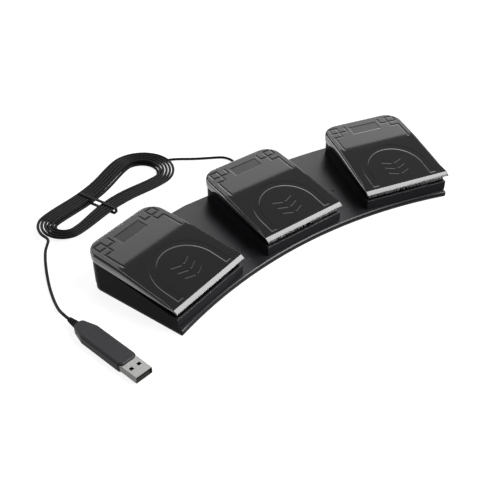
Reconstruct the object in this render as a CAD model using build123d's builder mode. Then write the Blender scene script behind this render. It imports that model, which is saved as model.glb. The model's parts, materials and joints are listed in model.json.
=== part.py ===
"""Three-pedal foot switch with a coiled lead and a stick plug, built piece by piece, in millimetres.

The frame has X to the right, Y away from the user and Z up from the floor.
The pedals fan out on an arc whose centre lies on the user's side.
"""
from build123d import *
from math import asin, atan2, cos, degrees, hypot, radians, sin, tan
import os

os.makedirs("parts", exist_ok=True)

# Fan of pedals
lip_radius = 326.0
fan_turn = 15.25

# Pedal cover
cover_front_width = 66.0
cover_taper = 3.0
cover_depth = 76.0
cover_corner_radius = 10.0
cover_wall = 2.0
lip_tip_height = 17.0
lip_height = 18.9
lip_depth = 3.0
lip_curl = 1.4
crease_depth = 46.4
crease_drop = 3.3
crease_radius = 70.0
cover_rear_height = 30.4
skirt_front_height = 17.4
skirt_rear_drop = 5.75
cover_edge_radius = 0.8
front_skirt_set_back = 2.4
front_skirt_wall = 1.5
front_skirt_height = 11.8
front_skirt_root = 0.8
front_skirt_inset = 3.8
pedal_travel = 3.0
arch_outer_radius = 25.2
arch_inner_radius = 20.8
arch_centre = 13.7
arch_foot = 2.2
arch_sink = 0.3
panel_width = 22.6
panel_length = 8.1
panel_inset = 7.2
panel_sink = 0.3

# Base moulding
foot_height = 0.8
bottom_plate_thickness = 1.5
base_front_set_back = -0.5
base_rear_set_back = 1.0
base_front_height = 4.4
base_rear_height = 13.8
base_wall = 2.0
base_edge_chamfer = 0.6
base_front_corner_radius = 0.8
overrun = 20.0

# Box under each cover
box_inset = 1.2
box_wall = 2.0
box_front_set_back = 0.8
box_front_wall = 1.2
box_front_height = 11.6
box_rear_drop = 0.75
box_front_edge_radius = 0.4
well_floor = 6.5
well_floor_thickness = 1.5

# Hinge of each cover
hinge_set_in = 8.0
hinge_height = 19.5
hinge_pin_radius = 1.5
hinge_running_clearance = 0.05
hinge_seat_clearance = 0.02
hinge_eye_radius = 3.4
hinge_ear_thickness = 3.0
hinge_ear_inset = 10.0
hinge_side_clearance = 0.4
hinge_pin_chamfer = 0.3
hinge_pin_inset = 0.8

# Switch under each cover
switch_depth = 50.0
switch_length = 12.8
switch_width = 5.8
switch_body_height = 6.6
switch_edge_radius = 0.4
switch_board_length = 24.0
switch_board_width = 14.0
switch_board_thickness = 1.6
plunger_length = 2.9
plunger_width = 1.6
plunger_guide_clearance = 0.1
plunger_root = 1.4
plunger_well = 3.0
plunger_edge_radius = 0.3
pusher_clearance = 0.3
pusher_radius = 2.5
board_screw_spacing = 18.0
board_screw_radius = 1.0
board_screw_head_radius = 1.9
board_screw_head_height = 1.2
board_screw_length = 2.8
wire_radius = 0.7
wire_hole_radius = 1.2
wire_level = 3.5
wire_hole_across = 8.0
wire_hole_set_in = 5.0

# Controller under the plate between the middle and right pedals
control_shift = 1.5
control_length = 28.0
control_width = 22.0
control_thickness = 1.2
control_spacer_height = 0.6
control_spacer_radius = 1.6
control_spacer_spacing_x = 17.0
control_spacer_spacing_y = 23.0
chip_size = 7.0
chip_height = 1.2
crystal_length = 8.0
crystal_width = 3.4
lamp_across = 2.0
lamp_set_in = 4.1
lamp_size = 1.8
lamp_hole_radius = 0.75
wire_pitch = 3.0
wire_lead_in = 4.0
wire_cross_reach = 8.0
core_turn_share = 5 / 11

# Return spring of each cover
spring_depth = 24.0
spring_coil_radius = 4.0
spring_wire_radius = 0.45
wire_sides = 6
spring_turns = 6
spring_seat_gap = 0.3
spring_spigot_radius = 2.8
spring_spigot_height = 2.5
spring_cup_rim = 1.0
spring_cup_share = 1.5

# Rubber stop of each cover
stop_depth = 12.0
stop_radius = 4.5
stop_height = 2.6
stop_rib_width = 8.0
stop_rib_length = 3.0
stop_clearance = 0.3

# Feet and screws of the base
foot_radius = 6.0
foot_edge_radius = 0.3
foot_turn = 17.0
foot_front_set_back = 20.0
foot_rear_inset = 13.0
screw_radius = 1.4
screw_head_radius = 2.8
screw_head_height = 1.2
screw_length = 3.8
screw_boss_radius = 3.2
screw_hole_clearance = 0.2
screw_thread_clearance = 0.05
screw_front_set_back = 11.0
screw_rear_inset = 9.0
end_screw_turn = 18.5
end_boss_height = 5.6
middle_boss_height = 11.4

# Lead
cable_diameter = 2.0
cable_exit_across = 18.0
cable_exit_height = 9.9
grommet_length = 6.0
grommet_base_radius = 2.4
grommet_tip_radius = 1.6
grommet_flange_radius = 3.2
grommet_flange_thickness = 1.2
grommet_hole_clearance = 0.1
core_hole_set_in = 12.8
smallest_bend_diameters = 5
run_share = 0.45

# Hank
hank_centre_x = -78.7
hank_centre_back = 129.3
hank_turn = 17.6
hank_half_span = 39.6
hank_right_radius = 25.0
hank_left_radius = 19.0
hank_waist_half = 15.5
hank_waist_radius = 45.0
hank_layer_rise = 2.45
low_loops = 3
low_pitch = 2.75
low_first_offset = 6.25
high_loops = 5
high_pitch = 2.5
climb_draw_in = 2.0
entry_bend_radius = 6.5
entry_bend_turn = 8.0
entry_heading = 142.0
leave_bend_radius = 10.0
leave_bend_turn = 175.0
leave_heading = 214.0
hank_stub = 2.2
bend_joint = 0.2
tie_thickness = 0.4
tie_gap = 0.2
tie_width = 2.4
tie_corner_radius = 2.0
tie_shift = -8.0
tie_spread = 1.0
hank_samples = 4000
hank_sample_step = 4
hank_own_reach = 6
lead_first_run = 7.2
lead_last_run = 9.0
lead_corners = (
    (19.6, 97.4, 5.4),
    (22.8, 105.6, 1.05),
    (25.4, 113.4, 1.05),
    (22.9, 121.4, 1.05),
    (14.6, 126.6, 1.05),
    (3.6, 133.4, 1.05),
)
tail_first_run = 7.0
tail_last_run = 6.2
tail_corners = (
    (-148.6, 86.2, 2.6),
    (-154.8, 71.0, 1.05),
    (-159.2, 57.3, 1.05),
    (-161.9, 45.4, 1.4),
)

# Plug
plug_entry_x = -161.9
plug_entry_back = 29.9
plug_turn = 8.6
boot_length = 8.0
boot_rear_radius = 1.7
boot_front_radius = 2.6
boot_ribs = 4
boot_groove_share = 0.5
boot_rib_width = 1.1
boot_rib_depth = 0.5
boot_neck_radius = 1.9
plug_housing_length = 46.6
plug_housing_width = 13.0
plug_housing_height = 7.0
plug_shoulder_length = 11.0
plug_nose_width = 7.0
plug_nose_radius = 3.0
plug_wall = 1.2
plug_edge_radius = 1.4
plug_seam = 3.5
usb_width = 12.0
usb_height = 4.5
usb_wall = 0.35
usb_exposed = 12.6
usb_hidden = 6.0
usb_clearance = 0.05
usb_corner_radius = 0.5
usb_window = 2.3
usb_window_set_back = 7.2
usb_window_spacing = 5.4
tongue_thickness = 1.7
tongue_gap = 0.15
tongue_tip_set_back = 0.9
contact_width = 1.1
contact_thickness = 0.2
contact_pitch = 2.3
contact_length = 8.0
contact_set_back = 1.4
plug_board_thickness = 1.0
plug_board_length = 28.0
plug_board_width = 9.4
ledge_first = 24.0
ledge_second = 40.0

# Places that follow from the sizes
cover_rear_width = cover_front_width - cover_taper
hinge_depth = cover_depth - hinge_set_in
hinge_ear_spacing = cover_front_width - 2 * hinge_ear_inset
wire_hole_depth = switch_depth - wire_hole_set_in
crease_height = cover_rear_height - crease_drop
skirt_rear_height = cover_rear_height - skirt_rear_drop
box_rear_height = skirt_rear_height - box_rear_drop
base_front_radius = lip_radius + base_front_set_back
base_rear_radius = lip_radius + cover_depth - base_rear_set_back
shell_bottom = foot_height + bottom_plate_thickness
box_front_half = cover_front_width / 2 - box_inset
box_depth = cover_depth - box_inset
foot_rear_set_back = cover_depth - base_rear_set_back - foot_rear_inset
screw_rear_set_back = cover_depth - base_rear_set_back - screw_rear_inset
control_near = (screw_front_set_back + screw_rear_set_back - control_length) / 2 + control_shift
lamp_depth = control_near + lamp_set_in
core_hole_depth = box_depth - core_hole_set_in
front_corner_turn = fan_turn + degrees(asin(box_front_half / base_front_radius))
arc_back = (lip_radius + cover_depth + base_front_radius * cos(radians(front_corner_turn))) / 2
lip_place = lip_radius - arc_back
hank_centre_y = lip_place + hank_centre_back
plug_entry_y = lip_place + plug_entry_back
pedal_turns = {"left": -fan_turn, "middle": 0, "right": fan_turn}


def seat_plane(turn):
    """Floor plane of one pedal, with its origin under the middle of the lip and Y running back."""
    spot = Vector(lip_radius * sin(radians(turn)), lip_radius * cos(radians(turn)) - arc_back)
    return Plane(origin=spot, x_dir=(cos(radians(turn)), -sin(radians(turn)), 0), z_dir=(0, 0, 1))


def side_plane(seat, across=0):
    """Upright plane through a pedal's length: its X runs back and its Y runs up."""
    return Plane(origin=seat.from_local_coords((across, 0, 0)), x_dir=seat.y_dir, z_dir=seat.x_dir)


def cover_half(depth):
    """Half the cover's width at a distance behind the lip."""
    return (cover_front_width + (cover_rear_width - cover_front_width) * depth / cover_depth) / 2


def tapered_outline(inset, front):
    """Corners of the cover's tapered outline, drawn in by an inset and starting at a front line."""
    rear = cover_depth - inset
    return (
        (-cover_half(front) + inset, front),
        (cover_half(front) - inset, front),
        (cover_half(rear) - inset, rear),
        (-cover_half(rear) + inset, rear),
    )


pedal = Plane.XY
pedal_side = side_plane(pedal)
seats = {side: seat_plane(turn) for side, turn in pedal_turns.items()}
slope = (crease_height - lip_height) / (crease_depth - lip_depth)
rear_slope = (cover_rear_height - crease_height) / (cover_depth - crease_depth)


def cover_top(depth):
    """Height of the cover's upper face at a distance behind the lip."""
    if depth < crease_depth:
        return lip_height + slope * (depth - lip_depth)
    return crease_height + rear_slope * (depth - crease_depth)


def skirt_bottom(depth):
    """Height of the lower rim of the cover's side skirts."""
    return skirt_front_height + (skirt_rear_height - skirt_front_height) * depth / cover_depth


# Solid of the cover's outside and the hollow under its top
with BuildPart() as cover_block:
    with BuildSketch(pedal.offset(front_skirt_height)) as outline:
        Polygon(*tapered_outline(0, 0), align=None)
        fillet(outline.vertices().group_by(Axis.Y)[-1], radius=cover_corner_radius)
    extrude(amount=cover_rear_height)
    with BuildSketch(pedal_side):
        with BuildLine():
            top = Polyline(
                (0, lip_tip_height),
                (lip_depth, lip_height),
                (crease_depth, crease_height),
                (cover_depth, cover_rear_height),
            )
            fillet(top.vertices().sort_by(Axis.Y)[2], radius=crease_radius)
            Polyline(
                (cover_depth, cover_rear_height),
                (cover_depth, skirt_rear_height),
                (front_skirt_set_back, skirt_bottom(front_skirt_set_back)),
                (lip_curl, lip_tip_height - lip_curl),
                (0, lip_tip_height),
            )
        make_face()
    extrude(amount=cover_front_width, both=True, mode=Mode.INTERSECT)
    fillet(
        cover_block.edges().filter_by(lambda e: e.center().Z > lip_height + cover_wall).filter_by(
            lambda e: abs(e.center().X) > cover_rear_width / 2 - cover_corner_radius
            or e.center().Y > cover_depth - cover_corner_radius / 2
        ).filter_by(lambda e: abs(e.tangent_at(0).Z) < cos(radians(fan_turn)))
        .filter_by(lambda e: e.center().Z > cover_top(e.center().Y) - cover_edge_radius),
        radius=cover_edge_radius,
    )

with BuildPart() as cover_hollow:
    with BuildSketch(pedal) as outline:
        Polygon(*tapered_outline(cover_wall, front_skirt_set_back + front_skirt_wall), align=None)
        fillet(outline.vertices().group_by(Axis.Y)[-1], radius=cover_corner_radius - cover_wall)
    extrude(amount=cover_rear_height)
    with BuildSketch(pedal_side):
        with BuildLine():
            Polyline(
                (0, 0),
                (0, cover_top(0) - cover_wall),
                (crease_depth, crease_height - cover_wall),
                (cover_depth, cover_rear_height - cover_wall),
                (cover_depth, 0),
                close=True,
            )
        make_face()
    extrude(amount=cover_front_width, both=True, mode=Mode.INTERSECT)

# Faces of the cover's top: the tread in front of the crease and the rest behind it
tread_face = Plane(origin=(0, lip_depth, lip_height), x_dir=(1, 0, 0), z_dir=(0, -slope, 1))
rest_face = Plane(origin=(0, cover_depth, cover_rear_height), x_dir=(1, 0, 0), z_dir=(0, -rear_slope, 1))

# Moving cover with its sunk arch and panel, front skirt, hinge eyes, pusher, spring cup and stop rib
with BuildPart() as pedal_cover:
    add(cover_block.part)
    add(cover_hollow.part, mode=Mode.SUBTRACT)
    with BuildSketch(tread_face) as arch:
        with Locations((0, arch_centre)):
            Circle(arch_outer_radius)
        with Locations((0, (arch_centre + arch_foot) / 2)):
            Rectangle(2 * arch_outer_radius, arch_centre - arch_foot)
            Rectangle(2 * arch_inner_radius, arch_centre - arch_foot, mode=Mode.SUBTRACT)
        with Locations((0, arch_centre)):
            Circle(arch_inner_radius, mode=Mode.SUBTRACT)
        with Locations((0, arch_foot - arch_outer_radius)):
            Rectangle(2 * arch_outer_radius, 2 * arch_outer_radius, mode=Mode.SUBTRACT)
    extrude(amount=-arch_sink, mode=Mode.SUBTRACT)
    with BuildSketch(rest_face):
        with Locations((0, -panel_inset - panel_length / 2)):
            Rectangle(panel_width, panel_length)
    extrude(amount=-panel_sink, mode=Mode.SUBTRACT)
    with BuildSketch(pedal.offset(front_skirt_height)):
        with Locations((0, front_skirt_set_back + front_skirt_wall / 2)):
            Rectangle(cover_front_width - 2 * front_skirt_inset, front_skirt_wall)
    extrude(amount=skirt_front_height + front_skirt_root - front_skirt_height)
    for across in (-hinge_ear_spacing / 2, hinge_ear_spacing / 2):
        with BuildSketch(side_plane(pedal, across)):
            with Locations((hinge_depth, hinge_height)):
                Circle(hinge_eye_radius)
            with Locations((hinge_depth, (hinge_height + cover_top(hinge_depth) - cover_wall / 2) / 2)):
                Rectangle(2 * hinge_eye_radius, cover_top(hinge_depth) - cover_wall / 2 - hinge_height)
            with Locations((hinge_depth, hinge_height)):
                Circle(hinge_pin_radius + hinge_running_clearance, mode=Mode.SUBTRACT)
        extrude(amount=hinge_ear_thickness / 2, both=True)
    plunger_top = well_floor + switch_board_thickness + switch_body_height + plunger_length - plunger_root
    with BuildSketch(pedal.offset(plunger_top + pusher_clearance)):
        with Locations((0, switch_depth)):
            Circle(pusher_radius)
    extrude(amount=cover_top(switch_depth) - cover_wall / 2 - plunger_top - pusher_clearance)
    with BuildSketch(pedal.offset(cover_top(spring_depth) - 2 * cover_wall)):
        with Locations((0, spring_depth)):
            Circle(spring_coil_radius + spring_cup_rim)
    extrude(amount=spring_cup_share * cover_wall)
    stop_top = well_floor + stop_height
    stop_drop = (hinge_depth - stop_depth) * sin(radians(pedal_travel))
    with BuildSketch(pedal.offset(stop_top + stop_clearance + stop_drop)):
        with Locations((0, stop_depth)):
            Rectangle(stop_rib_width, stop_rib_length)
    extrude(amount=cover_top(stop_depth) - cover_wall / 2 - stop_top - stop_clearance - stop_drop)

# Solid of one box, its well, and what stands inside it
with BuildPart() as box_block:
    with BuildSketch(pedal.offset(well_floor - well_floor_thickness)) as outline:
        Polygon(*tapered_outline(box_inset, box_front_set_back), align=None)
        fillet(outline.vertices().group_by(Axis.Y)[-1], radius=cover_corner_radius - box_inset)
    extrude(amount=box_rear_height)
    with BuildSketch(pedal_side):
        with BuildLine():
            Polyline(
                (box_front_set_back, 0),
                (box_front_set_back, box_front_height),
                (box_depth, box_rear_height),
                (box_depth, 0),
                close=True,
            )
        make_face()
    extrude(amount=cover_front_width, both=True, mode=Mode.INTERSECT)
    fillet(box_block.faces().sort_by(Axis.Y)[0].edges().sort_by(Axis.Z)[-1], radius=box_front_edge_radius)

with BuildPart() as box_well:
    with BuildSketch(pedal.offset(well_floor)) as outline:
        Polygon(*tapered_outline(box_inset + box_wall, box_front_set_back + box_front_wall), align=None)
        fillet(outline.vertices().group_by(Axis.Y)[-1], radius=cover_corner_radius - box_inset - box_wall)
    extrude(amount=box_rear_height)

ear_place = hinge_ear_spacing / 2 + hinge_ear_thickness + hinge_side_clearance
with BuildPart() as box_fittings:
    for across in (-ear_place, ear_place):
        with BuildSketch(side_plane(pedal, across)):
            with Locations((hinge_depth, hinge_height)):
                Circle(hinge_eye_radius)
            with Locations((hinge_depth, (hinge_height + well_floor - well_floor_thickness / 2) / 2)):
                Rectangle(2 * hinge_eye_radius, hinge_height - well_floor + well_floor_thickness / 2)
            with Locations((hinge_depth, hinge_height)):
                Circle(hinge_pin_radius + hinge_seat_clearance, mode=Mode.SUBTRACT)
        extrude(amount=hinge_ear_thickness / 2, both=True)
    with BuildSketch(pedal.offset(well_floor - well_floor_thickness / 2)):
        with Locations((0, spring_depth)):
            Circle(spring_spigot_radius)
    extrude(amount=spring_spigot_height + well_floor_thickness / 2)

with BuildPart() as floor_holes:
    with BuildSketch(pedal.offset(well_floor)):
        with Locations((0, switch_depth)):
            with GridLocations(board_screw_spacing, 0, 2, 1):
                Circle(board_screw_radius + screw_thread_clearance)
        with Locations((-wire_hole_across, wire_hole_depth), (wire_hole_across, wire_hole_depth)):
            Circle(wire_hole_radius)
    extrude(amount=-well_floor_thickness)

# Outline of the base between the arcs and the end walls
left_front = seats["left"].from_local_coords((-cover_half(0) + box_inset, 0, 0))
left_rear = seats["left"].from_local_coords((-cover_half(box_depth) + box_inset, box_depth, 0))
end_step = (left_rear - left_front).normalized() * overrun
end_front = left_front - end_step
end_rear = left_rear + end_step
arc_centre = (0, -arc_back)

with BuildSketch() as base_outline:
    with Locations(arc_centre):
        Circle(base_rear_radius)
        Circle(base_front_radius, mode=Mode.SUBTRACT)
    with BuildLine():
        Polyline(
            (end_front.X, end_front.Y),
            (end_rear.X, end_rear.Y),
            (-end_rear.X, end_rear.Y),
            (-end_front.X, end_front.Y),
            (0, -arc_back),
            close=True,
        )
    make_face(mode=Mode.INTERSECT)
    corners = base_outline.vertices().sort_by(lambda v: hypot(v.X, v.Y + arc_back))
    fillet(corners[:2], radius=base_front_corner_radius)
    corners = base_outline.vertices().sort_by(lambda v: hypot(v.X, v.Y + arc_back))
    fillet(corners[-2:], radius=cover_corner_radius - box_inset)

with BuildSketch() as cavity_outline:
    add(base_outline.sketch)
    offset(amount=-base_wall, mode=Mode.REPLACE)

arc_axis = Axis((0, -arc_back, 0), (0, 0, 1))
arc_profile = Plane(origin=(0, -arc_back, 0), x_dir=(0, -1, 0), z_dir=(-1, 0, 0))
wedge_rise = (base_rear_height - base_front_height) / (base_rear_radius - base_front_radius)


def wedge_section(low, drop):
    """Corners of the base's section, from the arc centre outwards, under a top face that rises to the rear."""
    near = base_front_radius - overrun
    far = base_rear_radius + overrun
    return (
        (near, low),
        (near, base_front_height - drop - wedge_rise * overrun),
        (far, base_rear_height - drop + wedge_rise * overrun),
        (far, low),
    )


with BuildPart() as base_cavity:
    with BuildSketch(Plane.XY):
        add(cavity_outline.sketch)
    extrude(amount=base_rear_height)
    with BuildSketch(arc_profile):
        Polygon(*wedge_section(-overrun, base_wall), align=None)
    revolve(axis=arc_axis, mode=Mode.INTERSECT)

exit_plane = Plane(
    origin=(cable_exit_across, lip_place + box_depth, cable_exit_height), x_dir=(1, 0, 0), z_dir=(0, 1, 0)
)
between = fan_turn / 2
control = seat_plane(between)
screw_spots = [
    (turn, back)
    for turn in (-end_screw_turn, -between, between, end_screw_turn)
    for back in (screw_front_set_back, screw_rear_set_back)
]


def arc_spot(turn, back):
    """Point at an angle on the fan and a distance behind the lip arc."""
    reach = lip_radius + back
    return (reach * sin(radians(turn)), reach * cos(radians(turn)) - arc_back)


# Base moulding: the wedge with its three boxes
with BuildPart() as base_shell:
    with BuildSketch(Plane.XY.offset(shell_bottom)):
        add(base_outline.sketch)
    extrude(amount=base_rear_height)
    with BuildSketch(arc_profile):
        Polygon(*wedge_section(-overrun, 0), align=None)
    revolve(axis=arc_axis, mode=Mode.INTERSECT)
    rim = base_shell.faces().sort_by(Axis.Z)[-1]
    chamfer(rim.edges(), length=base_edge_chamfer)
    add(base_cavity.part, mode=Mode.SUBTRACT)
    for turn, back in screw_spots:
        in_between = abs(turn) < fan_turn and back > screw_front_set_back
        boss_top = middle_boss_height if in_between else end_boss_height
        with BuildSketch(Plane.XY.offset(shell_bottom)):
            with Locations(arc_spot(turn, back)):
                Circle(screw_boss_radius)
        extrude(amount=boss_top - shell_bottom)
    for seat in seats.values():
        add(box_block.part.moved(seat.location))
    for seat in seats.values():
        add(box_well.part.moved(seat.location), mode=Mode.SUBTRACT)
    for seat in seats.values():
        add(box_fittings.part.moved(seat.location))
        add(floor_holes.part.moved(seat.location), mode=Mode.SUBTRACT)
    for turn, back in screw_spots:
        with BuildSketch(Plane.XY.offset(shell_bottom)):
            with Locations(arc_spot(turn, back)):
                Circle(screw_radius)
        extrude(amount=screw_length - bottom_plate_thickness + screw_hole_clearance, mode=Mode.SUBTRACT)
    with BuildSketch(exit_plane):
        Circle(grommet_base_radius + grommet_hole_clearance)
    extrude(amount=box_wall + grommet_hole_clearance, both=True, mode=Mode.SUBTRACT)
    with BuildSketch(Plane.XY.offset(wire_level)):
        with Locations((cable_exit_across, lip_place + core_hole_depth)):
            Circle(wire_hole_radius)
    extrude(amount=well_floor - wire_level, mode=Mode.SUBTRACT)
    with BuildSketch(control.offset(wire_level)):
        with Locations((lamp_across, lamp_depth)):
            Circle(lamp_hole_radius)
    extrude(amount=base_rear_height, mode=Mode.SUBTRACT)

# Steel plate that closes the base from below
with BuildPart() as bottom_plate:
    with BuildSketch(Plane.XY.offset(foot_height)):
        add(base_outline.sketch)
    extrude(amount=bottom_plate_thickness)
    for turn, back in screw_spots:
        with BuildSketch(Plane.XY.offset(foot_height)):
            with Locations(arc_spot(turn, back)):
                Circle(screw_radius + screw_hole_clearance)
        extrude(amount=bottom_plate_thickness, mode=Mode.SUBTRACT)
        with BuildSketch(Plane.XY.offset(foot_height)):
            with Locations(arc_spot(turn, back)):
                Circle(screw_head_radius + screw_hole_clearance)
        with BuildSketch(Plane.XY.offset(foot_height + screw_head_height)):
            with Locations(arc_spot(turn, back)):
                Circle(screw_radius + screw_hole_clearance)
        loft(mode=Mode.SUBTRACT)

# Countersunk screws from below
with BuildPart() as base_screws:
    for turn, back in screw_spots:
        with BuildSketch(Plane.XY.offset(foot_height)):
            with Locations(arc_spot(turn, back)):
                Circle(screw_head_radius)
        with BuildSketch(Plane.XY.offset(foot_height + screw_head_height)):
            with Locations(arc_spot(turn, back)):
                Circle(screw_radius)
        loft()
        with BuildSketch(Plane.XY.offset(foot_height + screw_head_height)):
            with Locations(arc_spot(turn, back)):
                Circle(screw_radius - screw_thread_clearance)
        extrude(amount=screw_length - screw_head_height)

# Rubber feet
with BuildPart() as rubber_feet:
    for turn in (-foot_turn, 0, foot_turn):
        for back in (foot_front_set_back, foot_rear_set_back):
            with BuildSketch(Plane.XY):
                with Locations(arc_spot(turn, back)):
                    Circle(foot_radius)
            extrude(amount=foot_height)
    fillet(rubber_feet.edges().group_by(Axis.Z)[0], radius=foot_edge_radius)

# Hinge pin of one pedal
pin_half = ear_place + hinge_ear_thickness / 2 - hinge_pin_inset
with BuildPart() as hinge_pin:
    with BuildSketch(pedal_side):
        with Locations((hinge_depth, hinge_height)):
            Circle(hinge_pin_radius)
    extrude(amount=pin_half, both=True)
    chamfer(hinge_pin.edges().filter_by(GeomType.CIRCLE), length=hinge_pin_chamfer)

# Return spring of one pedal, wound round its spigot and up to the cup under the cover
spring_low = well_floor + spring_seat_gap + spring_wire_radius
spring_high = cover_top(spring_depth) - 2 * cover_wall - spring_seat_gap - spring_wire_radius
with BuildPart() as return_spring:
    with BuildLine():
        coil = Helix(
            pitch=(spring_high - spring_low) / spring_turns,
            height=spring_high - spring_low,
            radius=spring_coil_radius,
            center=(0, spring_depth, spring_low),
        )
    with BuildSketch(Plane(origin=coil @ 0, z_dir=coil % 0)):
        RegularPolygon(spring_wire_radius, wire_sides)
    sweep(path=coil, is_frenet=True)

# Rubber stop of one pedal
with BuildPart() as bump_stop:
    with BuildSketch(pedal.offset(well_floor)):
        with Locations((0, stop_depth)):
            Circle(stop_radius)
    extrude(amount=stop_height)
    fillet(bump_stop.edges().group_by(Axis.Z)[-1], radius=foot_edge_radius)

# Switch of one pedal: its board, body, plunger and the two board screws
board_top = well_floor + switch_board_thickness
with BuildPart() as switch_board:
    with BuildSketch(pedal.offset(well_floor)):
        with Locations((0, switch_depth)):
            Rectangle(switch_board_length, switch_board_width)
            with GridLocations(board_screw_spacing, 0, 2, 1):
                Circle(board_screw_radius + screw_hole_clearance, mode=Mode.SUBTRACT)
    extrude(amount=switch_board_thickness)

with BuildPart() as switch_body:
    with BuildSketch(pedal.offset(board_top)):
        with Locations((0, switch_depth)):
            Rectangle(switch_length, switch_width)
    extrude(amount=switch_body_height)
    fillet(switch_body.edges().filter_by(Axis.Z), radius=switch_edge_radius)
    with BuildSketch(pedal.offset(board_top + switch_body_height)):
        with Locations((0, switch_depth)):
            Rectangle(2 * (plunger_width + plunger_guide_clearance), plunger_width + 2 * plunger_guide_clearance)
    extrude(amount=-plunger_well, mode=Mode.SUBTRACT)

with BuildPart() as switch_plunger:
    with BuildSketch(pedal.offset(board_top + switch_body_height - plunger_root)):
        with Locations((0, switch_depth)):
            Rectangle(2 * plunger_width, plunger_width)
    extrude(amount=plunger_length)
    fillet(switch_plunger.faces().sort_by(Axis.Z)[-1].edges(), radius=plunger_edge_radius)

with BuildPart() as board_screws:
    for across in (-board_screw_spacing / 2, board_screw_spacing / 2):
        with BuildSketch(pedal.offset(board_top)):
            with Locations((across, switch_depth)):
                Circle(board_screw_head_radius)
        extrude(amount=board_screw_head_height)
        with BuildSketch(pedal.offset(board_top)):
            with Locations((across, switch_depth)):
                Circle(board_screw_radius)
        extrude(amount=-board_screw_length)
    fillet(board_screws.edges().group_by(Axis.Z)[-1], radius=switch_edge_radius)

# Controller board with its spacers, chip, clock and signal lamp
control_bottom = shell_bottom + control_spacer_height
control_top = control_bottom + control_thickness
control_middle = control_near + control_length / 2
with BuildPart() as control_spacers:
    with BuildSketch(control.offset(shell_bottom)):
        with Locations((0, control_middle)):
            with GridLocations(control_spacer_spacing_x, control_spacer_spacing_y, 2, 2):
                Circle(control_spacer_radius)
    extrude(amount=control_spacer_height)

with BuildPart() as control_board:
    with BuildSketch(control.offset(control_bottom)):
        with Locations((0, control_middle)):
            Rectangle(control_width, control_length)
    extrude(amount=control_thickness)

with BuildPart() as control_parts:
    with BuildSketch(control.offset(control_top)):
        with Locations((0, control_middle)):
            Rectangle(chip_size, chip_size)
        with Locations((0, control_middle + chip_size)):
            Rectangle(crystal_length, crystal_width)
        with Locations((lamp_across, lamp_depth)):
            Rectangle(lamp_size, lamp_size)
    extrude(amount=chip_height)

# Strain relief behind the middle pedal
grommet_back = exit_plane.offset(-box_wall - grommet_flange_thickness - grommet_hole_clearance)
with BuildPart() as cable_grommet:
    with BuildSketch(grommet_back):
        Circle(grommet_flange_radius)
    extrude(amount=grommet_flange_thickness)
    with BuildSketch(exit_plane.offset(-box_wall - grommet_hole_clearance)):
        Circle(grommet_base_radius)
    extrude(amount=box_wall + grommet_hole_clearance)
    with BuildSketch(exit_plane):
        Circle(grommet_base_radius)
    with BuildSketch(exit_plane.offset(grommet_length)):
        Circle(grommet_tip_radius)
    loft()

cable_radius = cable_diameter / 2


def corner_radii(points):
    """Bend radius for each corner of a route: a steady share of the shorter run beside it."""
    radii = []
    for before, corner, after in zip(points, points[1:], points[2:]):
        near, far = Vector(*corner) - Vector(*before), Vector(*after) - Vector(*corner)
        turn = radians(near.get_angle(far))
        radii.append(run_share * min(near.length, far.length) / tan(turn / 2))
    print("bend radii", [round(radius, 1) for radius in radii])
    return radii


def seat_spot(seat, across, back, height):
    """Point of a pedal's plane as plain numbers."""
    spot = seat.from_local_coords((across, back, height))
    return (spot.X, spot.Y, spot.Z)


# Inner wires: from each switch board through the floor of its box to the controller
control_low = control_middle - wire_pitch
control_high = control_middle + wire_pitch
under_left = arc_spot(-fan_turn / 2, control_high)
left_wire_route = [
    seat_spot(seats["left"], wire_hole_across, wire_hole_depth, well_floor),
    seat_spot(seats["left"], wire_hole_across, wire_hole_depth, wire_level),
    (under_left[0], under_left[1], wire_level),
    (0, lip_place + wire_hole_depth - wire_cross_reach, wire_level),
    seat_spot(control, -control_width / 2 - wire_lead_in, control_low, wire_level),
    seat_spot(control, -control_width / 2, control_low, wire_level),
]
middle_wire_route = [
    seat_spot(seats["middle"], wire_hole_across, wire_hole_depth, well_floor),
    seat_spot(seats["middle"], wire_hole_across, wire_hole_depth, wire_level),
    seat_spot(control, -control_width / 2 - wire_lead_in, control_high, wire_level),
    seat_spot(control, -control_width / 2, control_high, wire_level),
]
right_wire_route = [
    seat_spot(seats["right"], -wire_hole_across, wire_hole_depth, well_floor),
    seat_spot(seats["right"], -wire_hole_across, wire_hole_depth, wire_level),
    seat_spot(control, control_width / 2 + wire_lead_in, control_high, wire_level),
    seat_spot(control, control_width / 2, control_high, wire_level),
]
core_start = grommet_back.from_local_coords((0, 0, 0))
core_hole = lip_place + core_hole_depth
control_far = control_near + control_length
core_room = screw_rear_set_back - screw_boss_radius - control_far
core_route = [
    (core_start.X, core_start.Y, core_start.Z),
    (cable_exit_across, core_hole, cable_exit_height),
    (cable_exit_across, core_hole, wire_level),
    seat_spot(control, 0, control_far + core_turn_share * core_room, wire_level),
    seat_spot(control, 0, control_far, wire_level),
]

with BuildPart() as left_wires:
    with BuildLine():
        route = FilletPolyline(*left_wire_route, radius=corner_radii(left_wire_route))
    with BuildSketch(Plane(origin=route @ 0, z_dir=route % 0)):
        Circle(wire_radius)
    sweep(path=route)

with BuildPart() as middle_wires:
    with BuildLine():
        route = FilletPolyline(*middle_wire_route, radius=corner_radii(middle_wire_route))
    with BuildSketch(Plane(origin=route @ 0, z_dir=route % 0)):
        Circle(wire_radius)
    sweep(path=route)

with BuildPart() as right_wires:
    with BuildLine():
        route = FilletPolyline(*right_wire_route, radius=corner_radii(right_wire_route))
    with BuildSketch(Plane(origin=route @ 0, z_dir=route % 0)):
        Circle(wire_radius)
    sweep(path=route)

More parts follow.
